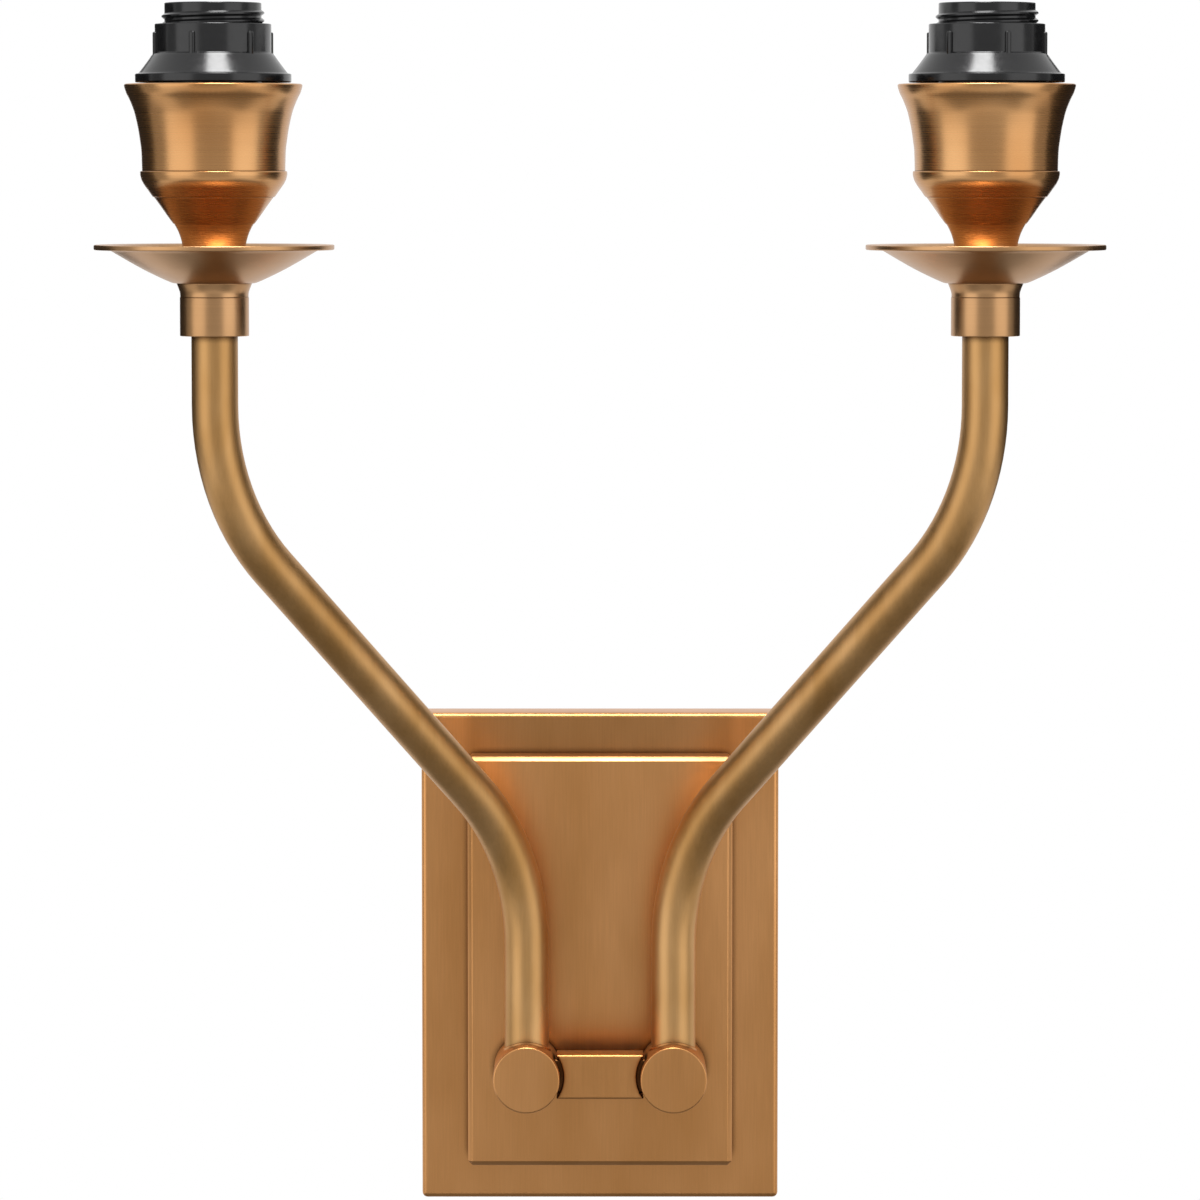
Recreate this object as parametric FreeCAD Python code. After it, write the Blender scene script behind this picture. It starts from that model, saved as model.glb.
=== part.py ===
import FreeCAD, Part
import math
import os

from FreeCAD import Vector

# Double arm wall sconce, millimetres.
# The wall is the plane y = 0 and the light stands out from it towards -Y, with +Z up.
# The origin is the middle of the wall strap's back face, which is the middle of the backplate.
# Two lamp heads, two arms and two hubs are the same pieces, made once for each side.

# ---- Driving dimensions -------------------------------------------------------------------

# Backplate: an open-backed box with a raised panel on its front
CANOPY_WIDTH = 103.6
CANOPY_HEIGHT = 142.0
CANOPY_DEPTH = 15.0
CANOPY_WALL = 2.0
CANOPY_EDGE_ROUND = 1.4
PANEL_WIDTH = 76.4
PANEL_HEIGHT = 119.0
PANEL_RAISE = 12.0
PANEL_WALL = 2.0
PANEL_EDGE_ROUND = 0.6
PANEL_BOSS_RADIUS = 8.0

# Wall strap: a steel bar with an ear at each end, and a tab for the terminal block
STRAP_HEIGHT = 24.0
STRAP_THICKNESS = 2.0
STRAP_EAR_DEPTH = 12.0
STRAP_SIDE_GAP = 0.3
WALL_SLOT_SPACING = 60.0
WALL_SLOT_WIDTH = 4.8
WALL_SLOT_LENGTH = 12.0
CABLE_HOLE_RADIUS = 8.0
TAB_WIDTH = 24.0
TAB_HEIGHT = 20.0

# Side screws that hold the backplate on the strap
SIDE_SCREW_RADIUS = 2.0
SIDE_SCREW_LENGTH = 9.0
SIDE_SCREW_HEAD_RADIUS = 4.2
SIDE_SCREW_HEAD_HEIGHT = 1.5
SIDE_SCREW_HEAD_BEVEL = 0.8
SIDE_SCREW_SLOT_WIDTH = 1.0
SIDE_SCREW_SLOT_DEPTH = 0.7
SIDE_SCREW_FROM_WALL = 7.5

# Earth screw on the strap
EARTH_SCREW_X = -18.0
EARTH_SCREW_RADIUS = 2.0
EARTH_HEAD_RADIUS = 3.4
EARTH_HEAD_HEIGHT = 2.4

# Terminal block on the strap's tab
POLE_COUNT = 2
POLE_PITCH = 8.0
POLE_LENGTH = 14.0
BLOCK_BASE_HEIGHT = 5.0
POLE_TOWER_SIDE = 5.2
POLE_TOWER_HEIGHT = 4.0
POLE_TOWER_SPACING = 7.6
POLE_SCREW_RADIUS = 1.3
POLE_SCREW_SINK = 1.0
BLOCK_LIFT = 3.0
BLOCK_SCREW_RADIUS = 1.4

# Hubs: short turned cylinders that stand out of the panel and carry the arms
HUB_SPACING = 42.0
HUB_DROP = 30.5
HUB_DIAMETER = 19.0
HUB_LENGTH = 25.0
HUB_EDGE_CHAMFER = 0.35
HUB_WIRE_RADIUS = 4.2
SADDLE_FLARE = 1.2

# Threaded hollow nipples and their nuts
NIPPLE_RADIUS = 5.0
NIPPLE_BORE_RADIUS = 3.3
NIPPLE_IN_HUB = 5.5
NUT_ACROSS_FLATS = 14.0
NUT_THICKNESS = 3.0
NIPPLE_PAST_NUT = 1.5

# Arms: one bent tube each, rising from the hub, out and forward, and up again
TUBE_DIAMETER = 12.7
TUBE_WALL = 1.2
BEND_RADIUS = 63.5
LEG_LENGTH = 63.7
ARM_RISE = 104.0
TOP_LEG_LENGTH = 45.6
LAMP_SPACING = 210.0
LAMP_FROM_WALL = 103.5
TUBE_IN_HUB = 6.5
TUBE_IN_COLLAR = 6.0

# Lamp heads, from the collar up
COLLAR_DIAMETER = 18.8
COLLAR_HEIGHT = 10.6
NECK_RING_HEIGHT = 3.8
NECK_RING_TOP_RADIUS = 10.2
PAN_RADIUS = 32.7
PAN_DISH_RADIUS = 28.3
PAN_DEPTH = 9.0
PAN_SAG = 0.55
PAN_SHEET = 1.4
PAN_FLAT_RADIUS = 10.4
FOOT_NECK_RADIUS = 8.5
FOOT_NECK_HEIGHT = 14.8
FOOT_SHOULDER_RADIUS = 10.7
FOOT_SWEEP = 7.0
FOOT_STEP = 0.4
FOOT_CONE_HEIGHT = 7.1
FOOT_TOP_RADIUS = 16.1
BAND_HEIGHT = 7.1
BAND_RADIUS = 20.05
BAND_EDGE = 1.1
BAND_FLOOR = 2.0
BAND_LEDGE = 1.6
CUP_WAIST_RADIUS = 19.5
CUP_HEIGHT = 23.6
CUP_STRAIGHT = 2.0
CUP_LIP_RADIUS = 24.2
CUP_LIP_HEIGHT = 3.9
CUP_LIP_INSET = 1.4
CUP_SHEET = 1.2

# Lampholder with its threaded sleeve, metal screw shell and contact
HOLDER_CAP_HEIGHT = 14.0
HOLDER_CAP_RADIUS = 12.6
HOLDER_CAP_CHAMFER = 2.0
NIPPLE_IN_CAP = 4.0
BARREL_RADIUS = 13.9
BARREL_HEIGHT = 33.6
BARREL_NECK_RADIUS = 13.15
BARREL_NECK_HEIGHT = 1.9
BARREL_WALL = 2.0
BARREL_LIP_RADIUS = 8.3
BARREL_LIP_THICKNESS = 1.6
SHELL_INNER_RADIUS = 6.95
SHELL_WALL = 0.5
SHELL_LENGTH = 24.0
CONTACT_WIDTH = 4.0
CONTACT_LENGTH = 9.0
CONTACT_SHEET = 0.6
CONTACT_RISE = 2.4

# Shade ring, which screws down the sleeve
RING_RIM_RADIUS = 21.2
RING_RIM_HEIGHT = 2.3
RING_RIM_STEP = 0.7
RING_CONE_HEIGHT = 5.6
RING_CONE_TOP_RADIUS = 16.2
RING_COLLAR_RADIUS = 15.8
RING_HEIGHT = 15.8
RING_WALL = 1.8
RING_ABOVE_CUP = 0.4
RIB_COUNT = 6
RIB_HEIGHT = 6.3
RIB_WIDTH = 1.3
RIB_DEPTH = 0.6
RIB_TURN = 12.0

# Flex inside each arm, from the lampholder to the terminal block
FLEX_WIDTH = 3.6
FLEX_THICKNESS = 1.8
FLEX_HUB_BEND = 5.0
FLEX_CANOPY_BEND = 3.8
FLEX_END_GAP = 0.8

# Clearances
BRAZE_GAP = 0.05
BOLT_CLEARANCE = 0.2
THREAD_CLEARANCE = 0.06
SCREW_HOLE_CLEARANCE = 0.35

# Straight cuts that stand for each arc in a lathe piece's outline
CUTS_IN_ARC = 3

# ---- Sizes that follow from them ----------------------------------------------------------

TUBE_RADIUS = TUBE_DIAMETER / 2
TUBE_BORE_RADIUS = TUBE_RADIUS - TUBE_WALL
HUB_RADIUS = HUB_DIAMETER / 2
PANEL_FRONT = CANOPY_DEPTH + PANEL_RAISE
HUB_FRONT = PANEL_FRONT + HUB_LENGTH
TUBE_FROM_WALL = PANEL_FRONT + HUB_LENGTH / 2
HUB_Z = -HUB_DROP
LOWER_BEND_Z = HUB_Z + LEG_LENGTH
UPPER_BEND_Z = LOWER_BEND_Z + ARM_RISE
COLLAR_Z = UPPER_BEND_Z + TOP_LEG_LENGTH
NECK_RING_Z = COLLAR_Z + COLLAR_HEIGHT
PAN_Z = NECK_RING_Z + NECK_RING_HEIGHT
FOOT_Z = PAN_Z + PAN_SHEET
FOOT_HEIGHT = FOOT_NECK_HEIGHT + FOOT_CONE_HEIGHT
BAND_Z = FOOT_Z + FOOT_HEIGHT
CUP_Z = BAND_Z + BAND_HEIGHT
CUP_TOP_Z = CUP_Z + CUP_HEIGHT
LAMP_NUT_Z = BAND_Z + BAND_FLOOR
HOLDER_Z = LAMP_NUT_Z + NUT_THICKNESS
BARREL_Z = HOLDER_Z + HOLDER_CAP_HEIGHT
BARREL_TOP_Z = BARREL_Z + BARREL_HEIGHT
CORE_TOP_Z = BARREL_TOP_Z - BARREL_LIP_THICKNESS
BARREL_BORE_RADIUS = BARREL_RADIUS - BARREL_WALL
SHELL_Z = CORE_TOP_Z - SHELL_LENGTH
CONTACT_Z = SHELL_Z - CONTACT_SHEET - CONTACT_RISE
RING_Z = CUP_TOP_Z + RING_ABOVE_CUP
STRAP_HALF_WIDTH = CANOPY_WIDTH / 2 - CANOPY_WALL - STRAP_SIDE_GAP
NUT_BACK = CANOPY_DEPTH - CANOPY_WALL - NUT_THICKNESS
BLOCK_Z = STRAP_HEIGHT / 2 + BLOCK_LIFT
BLOCK_WIDTH = POLE_COUNT * POLE_PITCH

UP = Vector(0, 0, 1)
TO_WALL = Vector(0, 1, 0)
SIDES = {"left": -1, "right": 1}


# ---- Shapes that are used again ------------------------------------------------------------

def rod(radius, start, end):
    """A round bar between two points."""
    run = end - start
    return Part.makeCylinder(radius, run.Length, start, run)


def block(low, high):
    """A box between its lowest and highest corner."""
    size = high - low
    return Part.makeBox(size.x, size.y, size.z, low)


def turned(start, *steps):
    """A lathe piece about the Z axis. A step is a point (r, z), or an arc (r, z, r, z).

    An arc is turned as a few straight cuts with their ends on it, which keeps the mesh light.
    """
    outline = [Vector(start[0], 0, start[1])]
    for step in steps + (start,):
        there = Vector(step[-2], 0, step[-1])
        if len(step) == 4:
            arc = Part.Arc(outline[-1], Vector(step[0], 0, step[1]), there)
            outline += arc.toShape().discretize(Number=CUTS_IN_ARC + 1)[1:]
        else:
            outline.append(there)
    return Part.Face(Part.makePolygon(outline)).revolve(Vector(0, 0, 0), UP, 360)


def hollow_side(radius, end_radius, low, high):
    """An arc step that leaves a vertical side at (radius, low) and sweeps out to the end."""
    spread = end_radius - radius
    rise = high - low
    bend = (spread ** 2 + rise ** 2) / (2 * spread)
    half_angle = math.asin(rise / bend) / 2
    through = (radius + bend * (1 - math.cos(half_angle)), low + bend * math.sin(half_angle))
    return through + (end_radius, high)


def hexagon_nut(centre, axis):
    """A hexagon nut on a nipple, from its seat at centre along axis."""
    corner = NUT_ACROSS_FLATS / math.sqrt(3)
    points = []
    for turn in range(7):
        angle = math.radians(60 * turn)
        points.append(Vector(corner * math.cos(angle), corner * math.sin(angle), 0))
    nut = Part.Face(Part.makePolygon(points)).extrude(Vector(0, 0, NUT_THICKNESS))
    nut = nut.cut(Part.makeCylinder(NIPPLE_RADIUS, NUT_THICKNESS))
    nut.Placement = FreeCAD.Placement(centre, FreeCAD.Rotation(UP, axis))
    return nut


def hollow_nipple(start, end):
    """A hollow threaded rod, its thread left plain."""
    return rod(NIPPLE_RADIUS, start, end).cut(rod(NIPPLE_BORE_RADIUS, start, end))


def at_lamp(shape, side):
    """Moves a lathe piece from the Z axis to the lamp's axis on one side."""
    moved = shape.copy()
    moved.translate(Vector(side * LAMP_SPACING / 2, -LAMP_FROM_WALL, 0))
    return moved


def save(name, shape):
    shape.exportStep("parts/" + name + ".step")


# ---- Backplate and what is behind it -------------------------------------------------------

def hub_points():
    """The two hub axes, as points in the wall plane."""
    return [Vector(side * HUB_SPACING / 2, 0, HUB_Z) for side in SIDES.values()]


def side_screw_axis(side):
    return Vector(side * CANOPY_WIDTH / 2, -SIDE_SCREW_FROM_WALL, 0)


def front_edges(shape, front):
    """Edges that lie all in the plane y = -front."""
    found = []
    for edge in shape.Edges:
        if all(abs(vertex.Y + front) < 1e-6 for vertex in edge.Vertexes):
            found.append(edge)
    return found


def tray(width, height, back, front, wall, edge_round):
    """An open-backed rectangular tray with rounded front edges."""
    outer = block(Vector(-width / 2, -front, -height / 2), Vector(width / 2, -back, height / 2))
    outer = outer.makeFillet(edge_round, front_edges(outer, front))
    inner_low = Vector(wall - width / 2, wall - front, wall - height / 2)
    inner_high = Vector(width / 2 - wall, -back, height / 2 - wall)
    return outer.cut(block(inner_low, inner_high))


def canopy_base():
    base = tray(CANOPY_WIDTH, CANOPY_HEIGHT, 0, CANOPY_DEPTH, CANOPY_WALL, CANOPY_EDGE_ROUND)
    for point in hub_points():
        hole = rod(NIPPLE_RADIUS + BOLT_CLEARANCE, point, point - TO_WALL * CANOPY_DEPTH)
        base = base.cut(hole)
    for side in SIDES.values():
        outside = side_screw_axis(side)
        inward = Vector(-side, 0, 0)
        hole_radius = SIDE_SCREW_RADIUS + SCREW_HOLE_CLEARANCE
        base = base.cut(rod(hole_radius, outside, outside + inward * CANOPY_WALL))
    return base


def raised_panel():
    panel = tray(PANEL_WIDTH, PANEL_HEIGHT, CANOPY_DEPTH, PANEL_FRONT, PANEL_WALL, PANEL_EDGE_ROUND)
    for point in hub_points():
        boss_back = point - TO_WALL * CANOPY_DEPTH
        boss_front = point - TO_WALL * (PANEL_FRONT - PANEL_WALL)
        panel = panel.fuse(rod(PANEL_BOSS_RADIUS, boss_back, boss_front))
        hole = rod(NIPPLE_RADIUS + BOLT_CLEARANCE, boss_back, point - TO_WALL * PANEL_FRONT)
        panel = panel.cut(hole)
    return panel.removeSplitter()


def wall_slot(x):
    """One slot through the strap, long along X."""
    half_run = (WALL_SLOT_LENGTH - WALL_SLOT_WIDTH) / 2
    radius = WALL_SLOT_WIDTH / 2
    low = Vector(x - half_run, -STRAP_THICKNESS, -radius)
    high = Vector(x + half_run, 0, radius)
    slot = block(low, high)
    for end in (x - half_run, x + half_run):
        slot = slot.fuse(rod(radius, Vector(end, 0, 0), Vector(end, -STRAP_THICKNESS, 0)))
    return slot


def block_screw_axis():
    return Vector(0, 0, BLOCK_Z + POLE_LENGTH / 2)


def wall_strap():
    """The flat of the strap, with its tab, slots and holes."""
    half = STRAP_HEIGHT / 2
    end = STRAP_HALF_WIDTH - STRAP_THICKNESS
    strap = block(Vector(-end, -STRAP_THICKNESS, -half), Vector(end, 0, half))
    tab = block(Vector(-TAB_WIDTH / 2, -STRAP_THICKNESS, 0), Vector(TAB_WIDTH / 2, 0, half + TAB_HEIGHT))
    strap = strap.fuse(tab).removeSplitter()
    for x in (-WALL_SLOT_SPACING / 2, WALL_SLOT_SPACING / 2):
        strap = strap.cut(wall_slot(x))
    through = Vector(0, -STRAP_THICKNESS, 0)
    strap = strap.cut(rod(CABLE_HOLE_RADIUS, Vector(0, 0, 0), through))
    earth = Vector(EARTH_SCREW_X, 0, 0)
    strap = strap.cut(rod(EARTH_SCREW_RADIUS, earth, earth + through))
    return strap.cut(rod(BLOCK_SCREW_RADIUS, block_screw_axis(), block_screw_axis() + through))


def strap_ear(side):
    """The strap's end, bent forward round its outer corner, with the side screw's hole."""
    half = STRAP_HEIGHT / 2
    outer_face = side * STRAP_HALF_WIDTH
    inner_face = side * (STRAP_HALF_WIDTH - STRAP_THICKNESS)
    ear = block(Vector(min(outer_face, inner_face), -STRAP_EAR_DEPTH, -half),
                Vector(max(outer_face, inner_face), 0, half))
    corner = []
    for edge in ear.Edges:
        if all(abs(vertex.Y) < 1e-6 and abs(vertex.X - outer_face) < 1e-6 for vertex in edge.Vertexes):
            corner.append(edge)
    ear = ear.makeFillet(STRAP_THICKNESS * 0.9, corner)
    start = Vector(outer_face, -SIDE_SCREW_FROM_WALL, 0)
    inward = Vector(-side * STRAP_THICKNESS, 0, 0)
    return ear.cut(rod(SIDE_SCREW_RADIUS + THREAD_CLEARANCE, start, start + inward))


def side_screw(side):
    """Low bevelled head with a slot, outside the backplate, and a shank into the strap's ear."""
    head = SIDE_SCREW_HEAD_HEIGHT
    edge = SIDE_SCREW_HEAD_RADIUS
    bevel = SIDE_SCREW_HEAD_BEVEL
    screw = turned((0, -SIDE_SCREW_LENGTH), (SIDE_SCREW_RADIUS, -SIDE_SCREW_LENGTH),
                   (SIDE_SCREW_RADIUS, 0), (edge, 0), (edge, head - bevel), (edge - bevel, head),
                   (0, head))
    half_slot = SIDE_SCREW_SLOT_WIDTH / 2
    slot_low = Vector(-edge, -half_slot, head - SIDE_SCREW_SLOT_DEPTH)
    screw = screw.cut(block(slot_low, Vector(edge, half_slot, head)))
    out = Vector(side, 0, 0)
    screw.Placement = FreeCAD.Placement(side_screw_axis(side), FreeCAD.Rotation(UP, out))
    return screw


def earth_screw():
    front = Vector(EARTH_SCREW_X, -STRAP_THICKNESS, 0)
    shank = rod(EARTH_SCREW_RADIUS, Vector(EARTH_SCREW_X, 0, 0), front)
    return shank.fuse(rod(EARTH_HEAD_RADIUS, front, front - TO_WALL * EARTH_HEAD_HEIGHT))


def pole_screw_points():
    """Where the clamping screws stand, two to each pole, on top of the towers."""
    top = -(STRAP_THICKNESS + BLOCK_BASE_HEIGHT + POLE_TOWER_HEIGHT)
    points = []
    for pole in range(POLE_COUNT):
        x = (pole - (POLE_COUNT - 1) / 2) * POLE_PITCH
        for end in (-POLE_TOWER_SPACING / 2, POLE_TOWER_SPACING / 2):
            points.append(Vector(x, top, BLOCK_Z + POLE_LENGTH / 2 + end))
    return points


def terminal_block():
    back = -STRAP_THICKNESS
    body = block(Vector(-BLOCK_WIDTH / 2, back - BLOCK_BASE_HEIGHT, BLOCK_Z),
                 Vector(BLOCK_WIDTH / 2, back, BLOCK_Z + POLE_LENGTH))
    half = POLE_TOWER_SIDE / 2
    for point in pole_screw_points():
        low = point - Vector(half, 0, half)
        high = point + Vector(half, POLE_TOWER_HEIGHT, half)
        body = body.fuse(block(low, high))
    for point in pole_screw_points():
        depth = TO_WALL * (POLE_TOWER_HEIGHT - POLE_SCREW_SINK)
        body = body.cut(rod(POLE_SCREW_RADIUS, point, point + depth))
    through = Vector(0, back - BLOCK_BASE_HEIGHT, 0)
    return body.cut(rod(BLOCK_SCREW_RADIUS, block_screw_axis(), block_screw_axis() + through))


def terminal_screws():
    screws = []
    for point in pole_screw_points():
        top = point + TO_WALL * POLE_SCREW_SINK
        bottom = point + TO_WALL * (POLE_TOWER_HEIGHT - POLE_SCREW_SINK)
        screws.append(rod(POLE_SCREW_RADIUS, top, bottom))
    return Part.makeCompound(screws)


def terminal_fixing_screw():
    """Holds the terminal block on the strap's tab, its head between the towers."""
    front = block_screw_axis() - TO_WALL * (STRAP_THICKNESS + BLOCK_BASE_HEIGHT)
    return rod(BLOCK_SCREW_RADIUS, block_screw_axis(), front)


# ---- Hubs, crossbar and arms ---------------------------------------------------------------

def hub_body(side):
    x = side * HUB_SPACING / 2
    back = Vector(x, -PANEL_FRONT, HUB_Z)
    hub = rod(HUB_RADIUS, back, Vector(x, -HUB_FRONT, HUB_Z))
    return hub.makeChamfer(HUB_EDGE_CHAMFER, front_edges(hub, HUB_FRONT))


def hub(side):
    """Bored from above for the arm and from behind for the nipple, with a way for the flex."""
    x = side * HUB_SPACING / 2
    centre = Vector(x, -TUBE_FROM_WALL, HUB_Z)
    seat = centre + UP * (HUB_RADIUS - TUBE_IN_HUB)
    body = hub_body(side)
    body = body.cut(rod(TUBE_RADIUS + BRAZE_GAP, seat, centre + UP * HUB_DIAMETER))
    body = body.cut(rod(HUB_WIRE_RADIUS, centre - UP * HUB_WIRE_RADIUS, seat))
    back = Vector(x, -PANEL_FRONT, HUB_Z)
    body = body.cut(rod(HUB_WIRE_RADIUS, back, centre))
    return body.cut(rod(NIPPLE_RADIUS, back, back - TO_WALL * NIPPLE_IN_HUB))


def crossbar():
    """A round bar with its ends saddled to the hubs, flared there by the brazing."""
    ends = [Vector(side * HUB_SPACING / 2, -TUBE_FROM_WALL, HUB_Z) for side in SIDES.values()]
    hubs = Part.makeCompound([hub_body(side) for side in SIDES.values()])
    joined = rod(TUBE_RADIUS, ends[0], ends[1]).fuse(list(hubs.Solids)).removeSplitter()
    saddles = []
    for edge in joined.Edges:
        box = edge.BoundBox
        inside = abs(box.XMin) < HUB_SPACING / 2 and abs(box.XMax) < HUB_SPACING / 2
        behind_face = box.YMin > -HUB_FRONT + HUB_EDGE_CHAMFER and box.YMax < -PANEL_FRONT
        near_bar = box.YLength > TUBE_RADIUS / 2 or box.ZLength > TUBE_RADIUS / 2
        if inside and behind_face and near_bar:
            saddles.append(edge)
    flared = joined.makeChamfer(SADDLE_FLARE, saddles)
    return flared.cut(list(hubs.Solids))


def arm_path(side, bottom_z, top_z):
    """Centreline of one arm: a vertical leg, a bend, a slant, a bend, a vertical leg."""
    foot = Vector(side * HUB_SPACING / 2, -TUBE_FROM_WALL, 0)
    head = Vector(side * LAMP_SPACING / 2, -LAMP_FROM_WALL, 0)
    across = head - foot
    lean = math.atan2(across.Length, ARM_RISE)
    across.normalize()
    slant = across * math.sin(lean) + UP * math.cos(lean)
    tangent = BEND_RADIUS * math.tan(lean / 2)
    sagitta = BEND_RADIUS * (1 / math.cos(lean / 2) - 1)
    lower = foot + UP * LOWER_BEND_Z
    upper = head + UP * UPPER_BEND_Z
    inward = (slant - UP).normalize()
    points = [foot + UP * bottom_z, lower - UP * tangent, lower + inward * sagitta,
              lower + slant * tangent, upper - slant * tangent, upper - inward * sagitta,
              upper + UP * tangent, head + UP * top_z]
    return [Part.LineSegment(points[0], points[1]).toShape(),
            Part.Arc(points[1], points[2], points[3]).toShape(),
            Part.LineSegment(points[3], points[4]).toShape(),
            Part.Arc(points[4], points[5], points[6]).toShape(),
            Part.LineSegment(points[6], points[7]).toShape()]


def swept(section, edges):
    """A section carried along a path of straight and arc edges, one solid."""
    return Part.Wire(edges).makePipeShell([section], True, False)


def round_section(radius, edges):
    """A circle square to the start of a path."""
    first = edges[0]
    start = first.valueAt(first.FirstParameter)
    along = first.tangentAt(first.FirstParameter)
    return Part.Wire(Part.makeCircle(radius, start, along))


def arm_tube(side):
    bottom = HUB_Z + HUB_RADIUS - TUBE_IN_HUB
    top = COLLAR_Z + TUBE_IN_COLLAR
    path = arm_path(side, bottom, top)
    outside = swept(round_section(TUBE_RADIUS, path), path)
    return outside.cut(swept(round_section(TUBE_BORE_RADIUS, path), path))


def hub_nipple(side):
    start = Vector(side * HUB_SPACING / 2, -PANEL_FRONT - NIPPLE_IN_HUB, HUB_Z)
    end = Vector(start.x, -NUT_BACK + NIPPLE_PAST_NUT, HUB_Z)
    return hollow_nipple(start, end)


def hub_nuts():
    seat = -TO_WALL * (NUT_BACK + NUT_THICKNESS)
    return Part.makeCompound([hexagon_nut(point + seat, TO_WALL) for point in hub_points()])


# ---- Lamp heads, made about the Z axis ------------------------------------------------------

def collar():
    outer = COLLAR_DIAMETER / 2
    top = COLLAR_Z + COLLAR_HEIGHT
    seat = COLLAR_Z + TUBE_IN_COLLAR
    bore = TUBE_RADIUS + BRAZE_GAP
    return turned((bore, COLLAR_Z), (outer, COLLAR_Z), (outer, top), (NIPPLE_RADIUS, top),
                  (NIPPLE_RADIUS, seat), (bore, seat))


def neck_ring():
    bore = NIPPLE_RADIUS + BOLT_CLEARANCE
    return turned((bore, NECK_RING_Z), (COLLAR_DIAMETER / 2, NECK_RING_Z),
                  (NECK_RING_TOP_RADIUS, PAN_Z), (bore, PAN_Z))


def pan():
    """A shallow spun dish with a flat middle, a full side and a flat rim."""
    rim = PAN_Z + PAN_DEPTH
    bore = NIPPLE_RADIUS + BOLT_CLEARANCE
    side_middle = ((PAN_FLAT_RADIUS + PAN_DISH_RADIUS) / 2 + PAN_SAG / 2,
                   (PAN_Z + rim) / 2 - PAN_SAG)
    inner_middle = (side_middle[0] - PAN_SHEET / 3, side_middle[1] + PAN_SHEET)
    return turned((bore, PAN_Z), (PAN_FLAT_RADIUS, PAN_Z),
                  side_middle + (PAN_DISH_RADIUS, rim), (PAN_RADIUS, rim),
                  (PAN_RADIUS, rim + PAN_SHEET), (PAN_DISH_RADIUS - PAN_SHEET / 3, rim + PAN_SHEET),
                  inner_middle + (PAN_FLAT_RADIUS - PAN_SHEET / 3, FOOT_Z), (bore, FOOT_Z))


def cup_foot():
    """Hollow-sided neck, a small step and a cone, at the bottom of the cup."""
    bore = NIPPLE_RADIUS + BOLT_CLEARANCE
    shoulder = FOOT_Z + FOOT_NECK_HEIGHT
    sweep = hollow_side(FOOT_NECK_RADIUS, FOOT_SHOULDER_RADIUS, shoulder - FOOT_SWEEP, shoulder)
    return turned((bore, FOOT_Z), (FOOT_NECK_RADIUS, FOOT_Z),
                  (FOOT_NECK_RADIUS, shoulder - FOOT_SWEEP), sweep,
                  (FOOT_SHOULDER_RADIUS + FOOT_STEP, shoulder), (FOOT_TOP_RADIUS, BAND_Z),
                  (bore, BAND_Z))


def cup_band():
    """A dish with a rounded side that the cup stands on."""
    bore = NIPPLE_RADIUS + BOLT_CLEARANCE
    inner_wall = CUP_WAIST_RADIUS - CUP_SHEET - BAND_LEDGE
    start = FOOT_TOP_RADIUS + FOOT_STEP
    round_top = BAND_Z + BAND_HEIGHT - BAND_EDGE
    half_turn = math.sqrt(0.5)
    bulge = (start + (BAND_RADIUS - start) * half_turn,
             round_top - (BAND_HEIGHT - BAND_EDGE) * half_turn)
    return turned((bore, BAND_Z), (start, BAND_Z), bulge + (BAND_RADIUS, round_top),
                  (BAND_RADIUS, CUP_Z), (inner_wall, CUP_Z), (inner_wall, LAMP_NUT_Z),
                  (bore, LAMP_NUT_Z))


def cup_shell():
    """A spun cup: straight at its foot, flared, and turned up again at its lip."""
    lip_z = CUP_TOP_Z - CUP_LIP_HEIGHT
    lip_start = CUP_LIP_RADIUS - CUP_LIP_INSET
    flare = hollow_side(CUP_WAIST_RADIUS, lip_start, CUP_Z + CUP_STRAIGHT, lip_z)
    lip_middle = (lip_start + CUP_LIP_INSET * 0.62, lip_z + CUP_LIP_HEIGHT * 0.46)
    inner_waist = CUP_WAIST_RADIUS - CUP_SHEET
    return turned((CUP_WAIST_RADIUS, CUP_Z), (CUP_WAIST_RADIUS, CUP_Z + CUP_STRAIGHT), flare,
                  lip_middle + (CUP_LIP_RADIUS, CUP_TOP_Z),
                  (CUP_LIP_RADIUS - CUP_SHEET, CUP_TOP_Z), (lip_start - CUP_SHEET, lip_z),
                  (inner_waist, CUP_Z + CUP_HEIGHT / 3), (inner_waist, CUP_Z))


def lamp_nipple():
    start = Vector(0, 0, COLLAR_Z + TUBE_IN_COLLAR)
    end = Vector(0, 0, HOLDER_Z + NIPPLE_IN_CAP)
    return hollow_nipple(start, end)


def lamp_nuts():
    nuts = []
    for side in SIDES.values():
        nuts.append(at_lamp(hexagon_nut(Vector(0, 0, LAMP_NUT_Z), UP), side))
    return Part.makeCompound(nuts)


def holder_cap():
    """Lower half of the lampholder, screwed on the nipple."""
    chamfer_top = HOLDER_Z + HOLDER_CAP_CHAMFER
    chamfer_radius = HOLDER_CAP_RADIUS - HOLDER_CAP_CHAMFER
    return turned((NIPPLE_RADIUS, HOLDER_Z), (chamfer_radius, HOLDER_Z),
                  (HOLDER_CAP_RADIUS, chamfer_top), (HOLDER_CAP_RADIUS, BARREL_Z),
                  (NIPPLE_RADIUS, BARREL_Z))


def holder_barrel():
    """Threaded sleeve with a lip that keeps the core in, its thread left plain."""
    thread_end = BARREL_TOP_Z - BARREL_NECK_HEIGHT
    return turned((BARREL_BORE_RADIUS, BARREL_Z), (BARREL_RADIUS, BARREL_Z),
                  (BARREL_RADIUS, thread_end), (BARREL_NECK_RADIUS, thread_end),
                  (BARREL_NECK_RADIUS, BARREL_TOP_Z), (BARREL_LIP_RADIUS, BARREL_TOP_Z),
                  (BARREL_LIP_RADIUS, CORE_TOP_Z), (BARREL_BORE_RADIUS, CORE_TOP_Z))


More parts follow.
